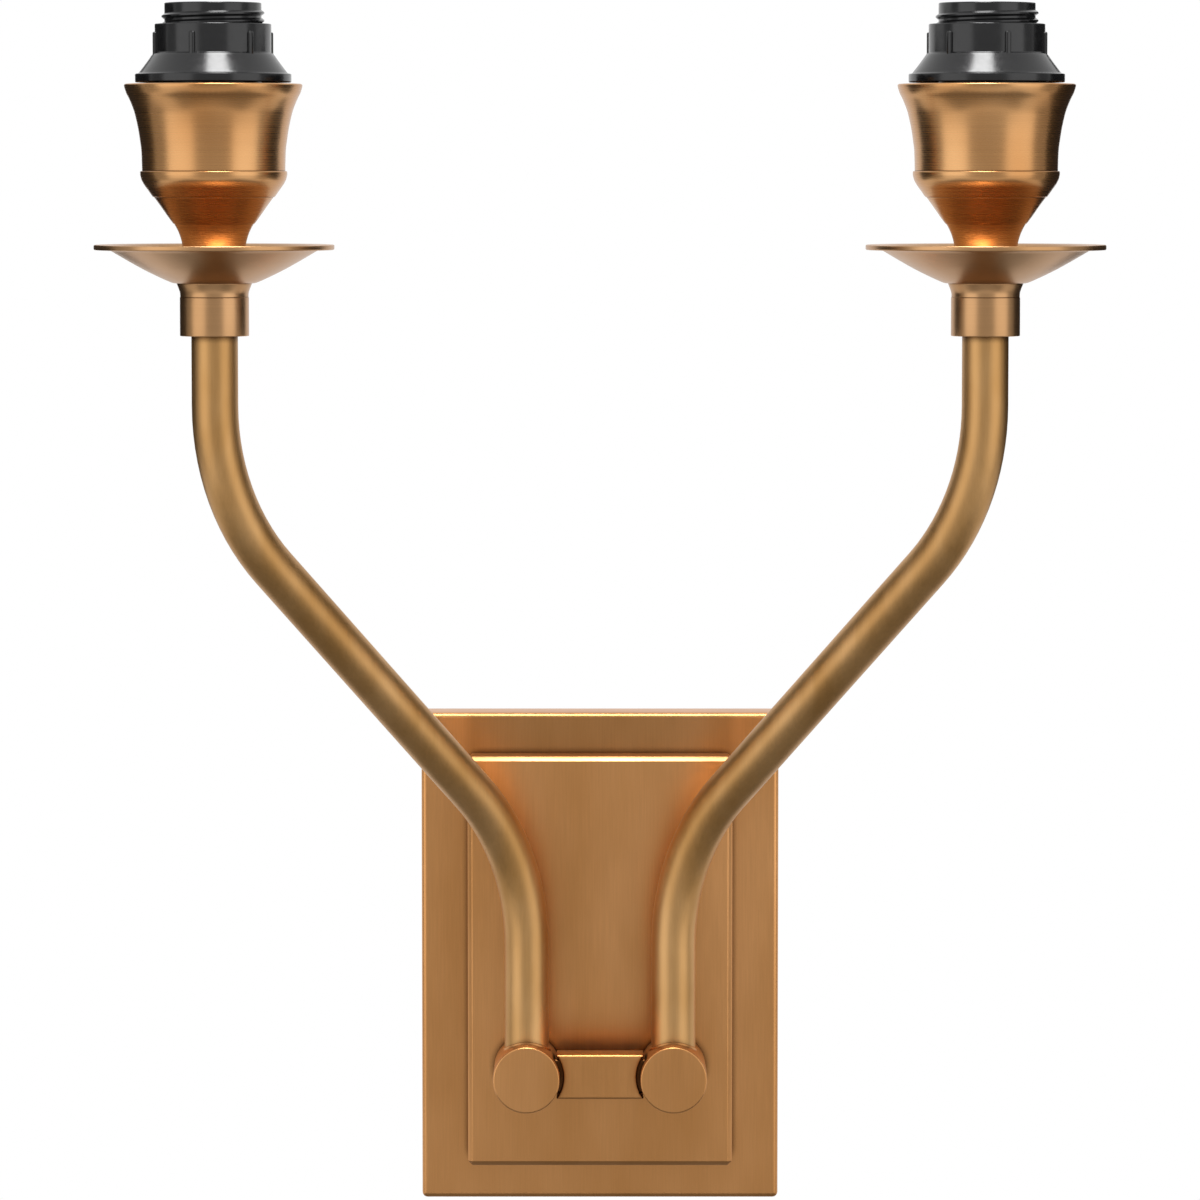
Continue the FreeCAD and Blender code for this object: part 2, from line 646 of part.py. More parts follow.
def holder_core():
    """Insulating insert that carries the screw shell and the contact."""
    outer = BARREL_BORE_RADIUS - BRAZE_GAP
    inner = SHELL_INNER_RADIUS + SHELL_WALL
    core = Part.makeCylinder(outer, CORE_TOP_Z - BARREL_Z, Vector(0, 0, BARREL_Z))
    return core.cut(Part.makeCylinder(inner, CORE_TOP_Z - CONTACT_Z, Vector(0, 0, CONTACT_Z)))


def screw_shell():
    """Metal shell that the lamp's cap screws into, its thread left plain."""
    outer = SHELL_INNER_RADIUS + SHELL_WALL
    return turned((SHELL_INNER_RADIUS, SHELL_Z), (outer, SHELL_Z), (outer, CORE_TOP_Z),
                  (SHELL_INNER_RADIUS, CORE_TOP_Z))


def centre_contact():
    """A springy tongue on the core's floor, folded up and back under the lamp's tip."""
    lower = CONTACT_Z
    upper = CONTACT_Z + CONTACT_RISE
    free_end = -CONTACT_LENGTH * 0.2
    fold_foot = CONTACT_LENGTH * 0.05
    fold_lean = 0.45
    across_fold = CONTACT_SHEET * math.hypot(1, fold_lean)
    outline = [Vector(-CONTACT_LENGTH / 2, 0, lower), Vector(fold_foot, 0, lower)]
    for level in (upper + CONTACT_SHEET, upper, lower + CONTACT_SHEET):
        outside = fold_foot + fold_lean * (level - lower)
        inside = outside - across_fold
        if level > upper:
            outline.append(Vector(outside, 0, level))
            outline.append(Vector(free_end, 0, level))
            outline.append(Vector(free_end, 0, upper))
        else:
            outline.append(Vector(inside, 0, level))
    outline.append(Vector(-CONTACT_LENGTH / 2, 0, lower + CONTACT_SHEET))
    tongue = Part.Face(Part.makePolygon(outline + [outline[0]])).extrude(Vector(0, CONTACT_WIDTH, 0))
    tongue.translate(Vector(0, -CONTACT_WIDTH / 2, 0))
    return tongue


def shade_ring(side):
    """Ribbed ring nut with a skirt, running on the sleeve's thread."""
    rim_top = RING_Z + RING_RIM_HEIGHT
    cone_top = rim_top + RING_CONE_HEIGHT
    top = RING_Z + RING_HEIGHT
    bore = BARREL_RADIUS + THREAD_CLEARANCE
    cone_bottom = RING_RIM_RADIUS - RING_RIM_STEP
    ring = turned((RING_RIM_RADIUS - RING_WALL, RING_Z), (RING_RIM_RADIUS, RING_Z),
                  (RING_RIM_RADIUS, rim_top), (cone_bottom, rim_top),
                  (RING_CONE_TOP_RADIUS, cone_top), (RING_COLLAR_RADIUS, cone_top),
                  (RING_COLLAR_RADIUS, top), (bore, top), (bore, cone_top - RING_WALL),
                  (cone_bottom - RING_WALL, rim_top - RING_WALL / 2),
                  (RING_RIM_RADIUS - RING_WALL, rim_top - RING_WALL / 2))
    ribs = []
    for number in range(RIB_COUNT):
        low = Vector(RING_COLLAR_RADIUS - RIB_DEPTH, -RIB_WIDTH / 2, cone_top - RIB_DEPTH)
        high = Vector(RING_COLLAR_RADIUS + RIB_DEPTH, RIB_WIDTH / 2, cone_top - RIB_DEPTH + RIB_HEIGHT)
        rib = block(low, high)
        rib.rotate(Vector(0, 0, 0), UP, 360 * (number + 0.5) / RIB_COUNT + side * RIB_TURN)
        ribs.append(rib)
    return ring.fuse(ribs).removeSplitter()


# ---- Flex inside the arm ---------------------------------------------------------------------

def flat_section(start, along, across):
    """The flat twin flex's section, a rectangle square to the path's start."""
    broad = across.normalize() * FLEX_WIDTH / 2
    thin = along.cross(across).normalize() * FLEX_THICKNESS / 2
    corners = [start + broad + thin, start - broad + thin, start - broad - thin,
               start + broad - thin]
    return Part.makePolygon(corners + [corners[0]])


def flex(side):
    """One two-core flex: lampholder, arm, a turn in the hub, nipple, a turn, terminal block."""
    hub_axis = Vector(side * HUB_SPACING / 2, -TUBE_FROM_WALL, HUB_Z)
    arm = arm_path(side, HUB_Z + FLEX_HUB_BEND, HOLDER_Z + NIPPLE_IN_CAP)
    quarter = math.sqrt(0.5)
    turn_end = hub_axis + TO_WALL * FLEX_HUB_BEND
    turn_middle = (hub_axis + TO_WALL * FLEX_HUB_BEND * (1 - quarter)
                   + UP * FLEX_HUB_BEND * (1 - quarter))
    turn_start = hub_axis + UP * FLEX_HUB_BEND
    nipple_end = Vector(hub_axis.x, -NUT_BACK + NIPPLE_PAST_NUT, HUB_Z)
    block_entry = Vector(side * POLE_PITCH / 2, 0, BLOCK_Z - FLEX_END_GAP)
    to_block = block_entry - Vector(hub_axis.x, 0, HUB_Z)
    run = to_block.Length
    to_block.normalize()
    bend = FLEX_CANOPY_BEND
    corner_middle = nipple_end + TO_WALL * bend * quarter + to_block * bend * (1 - quarter)
    corner_end = nipple_end + TO_WALL * bend + to_block * bend
    last = nipple_end + TO_WALL * bend + to_block * run
    edges = [Part.LineSegment(last, corner_end).toShape(),
             Part.Arc(corner_end, corner_middle, nipple_end).toShape(),
             Part.LineSegment(nipple_end, turn_end).toShape(),
             Part.Arc(turn_end, turn_middle, turn_start).toShape()]
    section = flat_section(last, -to_block, TO_WALL.cross(to_block))
    return swept(section, edges + arm)


# ---- Files -----------------------------------------------------------------------------------

def main():
    os.makedirs("parts", exist_ok=True)
    save("canopy_base", canopy_base())
    save("raised_panel", raised_panel())
    save("wall_strap", wall_strap())
    save("earth_screw", earth_screw())
    save("terminal_block", terminal_block())
    save("terminal_screws", terminal_screws())
    save("terminal_fixing_screw", terminal_fixing_screw())
    save("hub_nuts", hub_nuts())
    save("crossbar", crossbar())
    save("lamp_nuts", lamp_nuts())

    for name, side in SIDES.items():
        save("strap_ear_" + name, strap_ear(side))
        save("side_screw_" + name, side_screw(side))
        save("hub_" + name, hub(side))
        save("hub_nipple_" + name, hub_nipple(side))
        save("arm_tube_" + name, arm_tube(side))
        save("flex_" + name, flex(side))
        save("shade_ring_" + name, at_lamp(shade_ring(side), side))

    head = {"collar": collar(), "neck_ring": neck_ring(), "pan": pan(), "cup_foot": cup_foot(),
            "cup_band": cup_band(), "cup_shell": cup_shell(), "lamp_nipple": lamp_nipple(),
            "holder_cap": holder_cap(), "holder_barrel": holder_barrel(),
            "holder_core": holder_core(), "screw_shell": screw_shell(),
            "centre_contact": centre_contact()}
    for piece, shape in head.items():
        for name, side in SIDES.items():
            save(piece + "_" + name, at_lamp(shape, side))


main()
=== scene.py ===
import math

import bpy
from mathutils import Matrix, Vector


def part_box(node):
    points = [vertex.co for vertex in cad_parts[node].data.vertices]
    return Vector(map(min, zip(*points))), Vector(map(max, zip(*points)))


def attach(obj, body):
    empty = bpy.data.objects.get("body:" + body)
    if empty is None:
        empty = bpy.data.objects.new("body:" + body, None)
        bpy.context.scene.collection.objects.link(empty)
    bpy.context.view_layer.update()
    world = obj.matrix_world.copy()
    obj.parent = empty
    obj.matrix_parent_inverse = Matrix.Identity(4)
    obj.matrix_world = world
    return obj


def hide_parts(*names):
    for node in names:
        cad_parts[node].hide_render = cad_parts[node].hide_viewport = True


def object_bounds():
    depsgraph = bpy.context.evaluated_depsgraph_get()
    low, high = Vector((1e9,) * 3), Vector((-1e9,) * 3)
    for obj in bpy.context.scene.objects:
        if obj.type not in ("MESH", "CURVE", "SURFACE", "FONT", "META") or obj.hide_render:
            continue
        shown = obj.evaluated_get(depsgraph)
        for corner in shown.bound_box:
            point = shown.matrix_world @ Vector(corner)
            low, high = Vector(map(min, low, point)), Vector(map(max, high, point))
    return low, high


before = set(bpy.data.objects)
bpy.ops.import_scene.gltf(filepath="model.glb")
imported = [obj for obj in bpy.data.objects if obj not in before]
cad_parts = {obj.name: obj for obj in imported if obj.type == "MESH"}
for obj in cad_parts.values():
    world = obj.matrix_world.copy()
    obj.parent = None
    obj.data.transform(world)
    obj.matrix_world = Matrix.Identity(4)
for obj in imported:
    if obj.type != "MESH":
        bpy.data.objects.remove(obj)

cad_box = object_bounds()
bpy.ops.object.select_all(action="DESELECT")

MM = 0.001
SIDES = {"left": -1, "right": 1}
X, Y, Z = 0, 1, 2
# Faces round each turned piece
ROUND = 96
# Places count as the same within this, in mm, and vertices nearer than the second are merged.
NEAR = 0.01
MERGED = 0.001


# ---- Places, read from the frame, in millimetres -----------------------------------------------

def low_mm(name):
    """A node's lowest corner."""
    return [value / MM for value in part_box(name)[0]]


def high_mm(name):
    """A node's highest corner."""
    return [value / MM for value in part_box(name)[1]]


def middle_mm(name, way):
    """The middle of a node, along X, Y or Z."""
    return (low_mm(name)[way] + high_mm(name)[way]) / 2


def radius_mm(name, way):
    """Half the width of a round node, along X, Y or Z."""
    return (high_mm(name)[way] - low_mm(name)[way]) / 2


PLATE_LOW = low_mm("canopy_base")
PLATE_HIGH = high_mm("canopy_base")
PANEL_LOW = low_mm("raised_panel")
PANEL_HIGH = high_mm("raised_panel")
SCREW_Y = middle_mm("side_screw_left", Y)
SCREW_TIP = -high_mm("side_screw_left")[X]
HUB_X = middle_mm("hub_right", X)
HUB_Z = middle_mm("hub_left", Z)
HUB_RADIUS = radius_mm("hub_left", Z)
HUB_FRONT = low_mm("hub_left")[Y]
HUB_BACK = high_mm("hub_left")[Y]
# The crossbar's flat front lies this far behind the front of the round solid.
BAR_SET_BACK = 1.0
BAR_FRONT = low_mm("crossbar")[Y] + BAR_SET_BACK
TUBE_RADIUS = 6.35
TUBE_SEAT_Y = high_mm("arm_tube_left")[Y] - TUBE_RADIUS
LAMP_X = middle_mm("cup_shell_right", X)
LAMP_Y = middle_mm("cup_shell_right", Y)
COLLAR_Z = low_mm("collar_left")[Z]
COLLAR_TOP = high_mm("collar_left")[Z]
COLLAR_RADIUS = radius_mm("collar_left", X)
PAN_Z = low_mm("pan_left")[Z]
PAN_TOP = high_mm("pan_left")[Z]
PAN_RADIUS = radius_mm("pan_left", X)
FOOT_Z = low_mm("cup_foot_left")[Z]
BAND_Z = low_mm("cup_band_left")[Z]
CUP_Z = low_mm("cup_shell_left")[Z]
CUP_TOP = high_mm("cup_shell_left")[Z]
CUP_LIP_RADIUS = radius_mm("cup_shell_left", X)
SLEEVE_Z = low_mm("holder_barrel_left")[Z]
SLEEVE_TOP = high_mm("holder_barrel_left")[Z]
RING_Z = low_mm("shade_ring_left")[Z]
RING_TOP = high_mm("shade_ring_left")[Z]
RING_RADIUS = radius_mm("shade_ring_left", Y)


# ---- Materials ---------------------------------------------------------------------------------

# A Mix node's colour sockets go by number, because its sockets for values have the same names.
MIX_A, MIX_B, MIX_RESULT = 6, 7, 2
# Nearly all of a noise texture's values lie between these. Clouds have a little more contrast.
NOISE_LOW, NOISE_HIGH = 0.3, 0.7
CLOUD_LOW, CLOUD_HIGH = 0.35, 0.65
# How far from a corner the patina (left when the brass was rubbed back) and the painted shade of
# corners reach, in mm, and how open a place is where both are full and where they have gone
PATINA_AND_SHADE_REACH = 3.0
PATINA_AND_SHADE_FULL = 0.42
PATINA_AND_SHADE_GONE = 0.86
# Strip of painted shade above the panel, where the raised panel shades the border: how far inside
# its sides it starts to fade, how far outside it has gone, in what height its foot fades, and how
# deep behind the front face it goes, in mm. Then the share of the tone that it leaves.
STRIP_FADE_IN = 1.5
STRIP_FADE_OUT = 2.0
STRIP_FOOT_FADE = 0.5
STRIP_DEPTH = 1.0
STRIP_TONE = 0.76
# A brush line's share in the tone, and how far it takes the roughness down and up
LINE_TONE = 0.05
LINE_SMOOTHER = 0.03
LINE_ROUGHER = 0.04
# Clouds on brass are drawn out upwards, and brush lines on a flat or bent piece far more.
CLOUD_STRETCH = 0.35
LINE_STRETCH = 0.03
# Moulded, stamped and plated surfaces: the size of their mottle in mm, and the share by which the
# grain changes their roughness
MOTTLE = 9
GRAIN_ROUGHNESS = 0.2


def colour(code):
    """Linear colour from an sRGB hex value."""
    channels = []
    for start in (1, 3, 5):
        value = int(code[start:start + 2], 16) / 255
        if value <= 0.04045:
            channels.append(value / 12.92)
        else:
            channels.append(((value + 0.055) / 1.055) ** 2.4)
    return (channels[0], channels[1], channels[2], 1.0)


def per_mm(size):
    """Noise scale, in cycles a metre, for a pattern that repeats every size millimetres."""
    return 1 / (size * MM)


def node(tree, kind, links=None, **settings):
    """Adds a node. Links lead other sockets in, inputs sets values, and the rest sets properties."""
    made = tree.nodes.new(kind)
    inputs = settings.pop("inputs", {})
    for key, value in settings.items():
        setattr(made, key, value)
    for key, value in inputs.items():
        made.inputs[key].default_value = value
    for key, source in (links or {}).items():
        tree.links.new(source, made.inputs[key])
    return made


def bare_material(name):
    """A material with no nodes yet."""
    made = bpy.data.materials.new(name)
    made.use_nodes = True
    made.node_tree.nodes.clear()
    return made


def painted_shade_strip(tree, where, toned, half_width_mm, above_mm, front_mm, tone):
    """Painted shade: darkens the tone in a soft-sided strip on the front, about x = 0, above a
    height.
    """
    parts = node(tree, "ShaderNodeSeparateXYZ", {"Vector": where.outputs["Object"]})
    across = node(tree, "ShaderNodeMath", {0: parts.outputs["X"]}, operation="ABSOLUTE")
    within = node(tree, "ShaderNodeMapRange", {"Value": across.outputs[0]},
                  inputs={"From Min": (half_width_mm - STRIP_FADE_IN) * MM,
                          "From Max": (half_width_mm + STRIP_FADE_OUT) * MM,
                          "To Min": 1.0, "To Max": 0.0})
    above = node(tree, "ShaderNodeMapRange", {"Value": parts.outputs["Z"]},
                 inputs={"From Min": (above_mm - STRIP_FOOT_FADE) * MM, "From Max": above_mm * MM})
    in_front = node(tree, "ShaderNodeMath", {0: parts.outputs["Y"]}, operation="LESS_THAN",
                    inputs={1: (front_mm + STRIP_DEPTH) * MM})
    both = node(tree, "ShaderNodeMath", {0: within.outputs[0], 1: above.outputs[0]},
                operation="MULTIPLY")
    marked = node(tree, "ShaderNodeMath", {0: both.outputs[0], 1: in_front.outputs[0]},
                  operation="MULTIPLY")
    factor = node(tree, "ShaderNodeMapRange", {"Value": marked.outputs[0]},
                  inputs={"To Min": 1.0, "To Max": tone})
    return node(tree, "ShaderNodeVectorMath", {0: toned.outputs[0], 1: factor.outputs[0]},
                operation="MULTIPLY")


def brushed_brass(name, pale, deep, dirt_and_shade, roughness, line_mm, relief_mm, centre=None, cloud_mm=30,
                  strip=None):
    """Antiqued brass: two tones in soft clouds, brush lines, and a darker patina with painted shade
    in corners.

    The lines run up and down, or round the axis at centre on a piece that was turned on a lathe.
    Real brush lines are about 0.1 mm wide. They are drawn wider, at line_mm, so that they show.
    """
    made = bare_material(name)
    tree = made.node_tree
    where = node(tree, "ShaderNodeTexCoord")
    drawn_out = node(tree, "ShaderNodeMapping", {"Vector": where.outputs["Object"]},
                     inputs={"Scale": (1.0, 1.0, CLOUD_STRETCH)})
    clouds = node(tree, "ShaderNodeTexNoise", {"Vector": drawn_out.outputs["Vector"]},
                  inputs={"Scale": per_mm(cloud_mm), "Detail": 3.0, "Roughness": 0.55})
    if centre is None:
        along = node(tree, "ShaderNodeMapping", {"Vector": where.outputs["Object"]},
                     inputs={"Scale": (1.0, 1.0, LINE_STRETCH)})
    else:
        place = node(tree, "ShaderNodeMapping", {"Vector": where.outputs["Object"]},
                     inputs={"Location": (-centre[0], -centre[1], 0)})
        parts = node(tree, "ShaderNodeSeparateXYZ", {"Vector": place.outputs["Vector"]})
        x2 = node(tree, "ShaderNodeMath", {0: parts.outputs["X"], 1: parts.outputs["X"]},
                  operation="MULTIPLY")
        y2 = node(tree, "ShaderNodeMath",
                  {0: parts.outputs["Y"], 1: parts.outputs["Y"], 2: x2.outputs[0]},
                  operation="MULTIPLY_ADD")
        radius = node(tree, "ShaderNodeMath", {0: y2.outputs[0]}, operation="SQRT")
        along = node(tree, "ShaderNodeCombineXYZ",
                     {"X": radius.outputs[0], "Z": parts.outputs["Z"]})
    lines = node(tree, "ShaderNodeTexNoise", {"Vector": along.outputs[0]},
                 inputs={"Scale": per_mm(line_mm), "Detail": 3.0, "Roughness": 0.7})
    share = node(tree, "ShaderNodeMapRange", {"Value": clouds.outputs["Fac"]},
                 inputs={"From Min": CLOUD_LOW, "From Max": CLOUD_HIGH})
    mixed = node(tree, "ShaderNodeMix", {"Factor": share.outputs[0]}, data_type="RGBA",
                 inputs={MIX_A: colour(deep), MIX_B: colour(pale)})
    tint = node(tree, "ShaderNodeMapRange", {"Value": lines.outputs["Fac"]},
                inputs={"From Min": NOISE_LOW, "From Max": NOISE_HIGH,
                        "To Min": 1 - LINE_TONE, "To Max": 1 + LINE_TONE})
    toned = node(tree, "ShaderNodeVectorMath", {0: mixed.outputs[MIX_RESULT], 1: tint.outputs[0]},
                 operation="MULTIPLY")
    # Painted shade on the strip above the panel
    if strip is not None:
        toned = painted_shade_strip(tree, where, toned, *strip)
    # Patina and painted shade: ambient occlusion darkens corners and recesses towards the dark
    # colour.
    corners = node(tree, "ShaderNodeAmbientOcclusion", inputs={"Distance": PATINA_AND_SHADE_REACH * MM},
                   samples=8)
    open_ground = node(tree, "ShaderNodeMapRange", {"Value": corners.outputs["AO"]},
                       inputs={"From Min": PATINA_AND_SHADE_FULL, "From Max": PATINA_AND_SHADE_GONE})
    aged_and_shaded = node(tree, "ShaderNodeMix", {"Factor": open_ground.outputs[0], MIX_B: toned.outputs[0]},
                data_type="RGBA", inputs={MIX_A: colour(dirt_and_shade)})
    rough = node(tree, "ShaderNodeMapRange", {"Value": lines.outputs["Fac"]},
                 inputs={"From Min": NOISE_LOW, "From Max": NOISE_HIGH,
                         "To Min": roughness - LINE_SMOOTHER, "To Max": roughness + LINE_ROUGHER})
    bump = node(tree, "ShaderNodeBump", {"Height": lines.outputs["Fac"]},
                inputs={"Strength": 1.0, "Distance": relief_mm * MM})
    shader = node(tree, "ShaderNodeBsdfPrincipled",
                  {"Base Color": aged_and_shaded.outputs[MIX_RESULT], "Roughness": rough.outputs[0],
                   "Normal": bump.outputs[0]}, inputs={"Metallic": 1.0})
    node(tree, "ShaderNodeOutputMaterial", {"Surface": shader.outputs[0]})
    return made


def plain_surface(name, tone, second, roughness, grain_mm, relief_mm, metallic=0.0):
    """A moulded, stamped or plated surface: two near tones and a fine even grain."""
    made = bare_material(name)
    tree = made.node_tree
    where = node(tree, "ShaderNodeTexCoord")
    mottle = node(tree, "ShaderNodeTexNoise", {"Vector": where.outputs["Object"]},
                  inputs={"Scale": per_mm(MOTTLE), "Detail": 4.0})
    grain = node(tree, "ShaderNodeTexNoise", {"Vector": where.outputs["Object"]},
                 inputs={"Scale": per_mm(grain_mm), "Detail": 3.0})
    mixed = node(tree, "ShaderNodeMix", {"Factor": mottle.outputs["Fac"]}, data_type="RGBA",
                 inputs={MIX_A: colour(tone), MIX_B: colour(second)})
    rough = node(tree, "ShaderNodeMapRange", {"Value": grain.outputs["Fac"]},
                 inputs={"From Min": NOISE_LOW, "From Max": NOISE_HIGH,
                         "To Min": roughness * (1 - GRAIN_ROUGHNESS),
                         "To Max": roughness * (1 + GRAIN_ROUGHNESS)})
    bump = node(tree, "ShaderNodeBump", {"Height": grain.outputs["Fac"]},
                inputs={"Strength": 1.0, "Distance": relief_mm * MM})
    shader = node(tree, "ShaderNodeBsdfPrincipled",
                  {"Base Color": mixed.outputs[MIX_RESULT], "Roughness": rough.outputs[0],
                   "Normal": bump.outputs[0]}, inputs={"Metallic": metallic})
    node(tree, "ShaderNodeOutputMaterial", {"Surface": shader.outputs[0]})
    return made


# Antiqued satin brass, brushed up and down: a brown gold in soft upright clouds, with painted
# shade on the strip above the panel, where the raised panel shades the border. The plate, panel,
# hubs and crossbar are finished together.
PLATE_BRASS = brushed_brass("antiqued_satin_brass_plate", "#CD955F", "#BD8650", "#4A2C16",
                            roughness=0.33, line_mm=0.5, relief_mm=0.003,
                            strip=(PANEL_HIGH[X], PANEL_HIGH[Z], PLATE_LOW[Y], STRIP_TONE))
# The drawn tubes were brushed less: an olive gold with a broad soft shine, in smaller clouds.
ARM_BRASS = brushed_brass("antiqued_satin_brass_tube", "#C79C68", "#B28650", "#4A2F18",
                          roughness=0.42, line_mm=0.7, relief_mm=0.001, cloud_mm=16)
# Lathe-turned pieces have fine brush lines round the axis: a sharper shine that runs up the piece.
# The cups are the most polished and the most coppery.
HEAD_BRASS = {}
CUP_BRASS = {}
for label, side in SIDES.items():
    axis = (side * LAMP_X * MM, LAMP_Y * MM)
    HEAD_BRASS[label] = brushed_brass("turned_brass_pan_" + label, "#BC9268", "#AA8156", "#553319",
                                      roughness=0.31, line_mm=0.3, relief_mm=0.0003, centre=axis)
    CUP_BRASS[label] = brushed_brass("turned_coppery_brass_cup_" + label, "#C69766", "#B68250",
                                     "#4C2C15", roughness=0.27, line_mm=0.3, relief_mm=0.0003,
                                     centre=axis)
# Black phenolic, moulded and glossy, with a slight orange peel.
PHENOLIC = plain_surface("black_phenolic_moulding", "#0A0A0B", "#101011", roughness=0.20,
                         grain_mm=1.6, relief_mm=0.0015)
# Stamped bare brass of screw shells and contacts: a clean, bright yellow.
STAMPED_BRASS = plain_surface("stamped_bare_brass", "#D8B468", "#C39C50", roughness=0.28,
                              grain_mm=0.6, relief_mm=0.01, metallic=1.0)
# Zinc-plated steel: a cool grey with a faint grain.
ZINC_STEEL = plain_surface("zinc_plated_steel", "#B9BCC0", "#A4A8AD", roughness=0.34,
                           grain_mm=0.8, relief_mm=0.012, metallic=1.0)
# Natural nylon of a terminal block: a milky white, slightly dull.
NYLON = plain_surface("moulded_white_nylon", "#E6E5DF", "#DCDBD3", roughness=0.42,
                      grain_mm=0.7, relief_mm=0.015)
# PVC of a lighting flex: an off-white with a soft shine.
FLEX_PVC = plain_surface("extruded_flex_pvc", "#DAD7CC", "#CFCBBE", roughness=0.40,
                         grain_mm=0.9, relief_mm=0.010)

# The solids that show as they are, single ones first and then those with a left and a right one
for material, singles, pairs in (
        (ZINC_STEEL, ("wall_strap", "terminal_fixing_screw", "hub_nuts", "lamp_nuts"),
         ("strap_ear_", "lamp_nipple_", "hub_nipple_")),
        (STAMPED_BRASS, ("earth_screw", "terminal_screws"), ("screw_shell_", "centre_contact_")),
        (NYLON, ("terminal_block",), ()),
        (ARM_BRASS, (), ("arm_tube_",)),
        (PHENOLIC, (), ("holder_cap_", "holder_core_")),
        (FLEX_PVC, (), ("flex_",))):
    for name in list(singles) + [pair + label for pair in pairs for label in SIDES]:
        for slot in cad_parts[name].material_slots:
            slot.material = material


# ---- How the pieces are shaped, with lengths in millimetres ------------------------------------

# Edges that turn by more than this are eased, and those past the second look sharp.
EASED_TURN = math.radians(28)
SHARP_TURN = math.radians(30)
# How a round bar is turned to lie along X or Y
ALONG_X = (0, math.pi / 2, 0)
ALONG_Y = (math.pi / 2, 0, 0)


def smooth_run(points, steps):
    """A smooth curve through (radius, height) points, in that many steps from each to the next."""
    ends = points[:1] + points + points[-1:]
    run = points[:1]
    for before, here, there, after in zip(ends, ends[1:], ends[2:], ends[3:]):
        for step in range(1, steps + 1):
            t = step / steps
            point = []
            for a, b, c, d in zip(before, here, there, after):
                point.append(b + 0.5 * t * (c - a + t * (2 * a - 5 * b + 4 * c - d
                                                         + t * (3 * (b - c) + d - a))))
            run.append(tuple(point))
    return run


def draw_wire(points):
    """Pulls one vertex through the given points, which are in millimetres, back to the first."""
    bpy.ops.object.select_all(action="DESELECT")
    bpy.ops.mesh.primitive_plane_add(size=MM, location=Vector(points[0]) * MM)
    bpy.ops.object.mode_set(mode="EDIT")
    bpy.ops.mesh.select_mode(type="VERT")
    bpy.ops.mesh.select_all(action="SELECT")
    bpy.ops.mesh.merge(type="CENTER")
    for here, there in zip(points, points[1:] + points[:1]):
        step = (Vector(there) - Vector(here)) * MM
        bpy.ops.mesh.extrude_region_move(TRANSFORM_OT_translate={"value": step})
    return bpy.context.active_object


def merge_doubles():
    """Merges vertices that lie on each other, in the piece that is being edited."""
    bpy.ops.mesh.select_all(action="SELECT")
    bpy.ops.mesh.remove_doubles(threshold=MERGED * MM)


def turn(outline, centre, axis="Z"):
    """Spins a closed outline of (radius, place along the axis) points about the axis at centre."""
    def placed(radius, along):
        """The point at that radius, and that far along the axis."""
        if axis == "Z":
            return (centre[0] + radius, centre[1], along)
        if axis == "Y":
            return (centre[0] + radius, along, centre[1])
        return (along, centre[0] + radius, centre[1])

    piece = draw_wire([placed(radius, along) for radius, along in outline])
    bpy.ops.mesh.select_all(action="SELECT")
    bpy.ops.mesh.spin(steps=ROUND, angle=2 * math.pi, center=Vector(placed(0, 0)) * MM,
                      axis={"X": (1, 0, 0), "Y": (0, 1, 0), "Z": (0, 0, 1)}[axis])
    merge_doubles()
    bpy.ops.mesh.normals_make_consistent(inside=False)
    bpy.ops.object.mode_set(mode="OBJECT")
    return piece


def box_piece(low, high):
    """A cube drawn out to the given corners."""
    middle = [(a + b) / 2 * MM for a, b in zip(low, high)]
    size = [(b - a) * MM for a, b in zip(low, high)]
    bpy.ops.object.select_all(action="DESELECT")
    bpy.ops.mesh.primitive_cube_add(size=1.0, location=middle, scale=size)
    bpy.ops.object.transform_apply(location=True, rotation=True, scale=True)
    return bpy.context.active_object


def rod_piece(radius, length, middle, turned=(0, 0, 0)):
    """A round bar about its middle, upright or turned."""
    bpy.ops.mesh.primitive_cylinder_add(vertices=ROUND, radius=radius * MM, depth=length * MM,
                                        location=Vector(middle) * MM, rotation=turned)
    return bpy.context.active_object


def pick(piece, kind, wanted):
    """Goes into edit mode with the wanted faces (by centre and normal) or edges (by their ends)."""
    bpy.ops.object.mode_set(mode="EDIT")
    bpy.ops.mesh.select_mode(type=kind)
    bpy.ops.mesh.select_all(action="DESELECT")
    bpy.ops.object.mode_set(mode="OBJECT")
    mesh = piece.data
    if kind == "FACE":
        for face in mesh.polygons:
            face.select = wanted(face.center / MM, face.normal)
    else:
        for edge in mesh.edges:
            first, second = (mesh.vertices[number].co / MM for number in edge.vertices)
            edge.select = wanted(first, second)
    bpy.ops.object.mode_set(mode="EDIT")


def modify(piece, kind, **settings):
    """Adds a modifier and applies it."""
    bpy.context.view_layer.objects.active = piece
    added = piece.modifiers.new(kind.lower(), kind)
    for key, value in settings.items():
        setattr(added, key, value)
    bpy.ops.object.modifier_apply(modifier=added.name)


def ease_edges(piece, width_mm, segments=3, held_back=True):
    """Rounds the sharp edges. Held back, the rounding gets narrower where faces are small."""
    modify(piece, "BEVEL", width=width_mm * MM, segments=segments, limit_method="ANGLE",
           angle_limit=EASED_TURN, use_clamp_overlap=held_back)


def combine(piece, other, operation):
    """Takes the other form out of the piece, or keeps what both share."""
    modify(piece, "BOOLEAN", object=other, operation=operation)
    bpy.data.objects.remove(other)


def take_in(piece, other):
    """Joins another mesh to the piece."""
    bpy.ops.object.select_all(action="DESELECT")
    other.select_set(True)
    piece.select_set(True)
    bpy.context.view_layer.objects.active = piece
    bpy.ops.object.join()


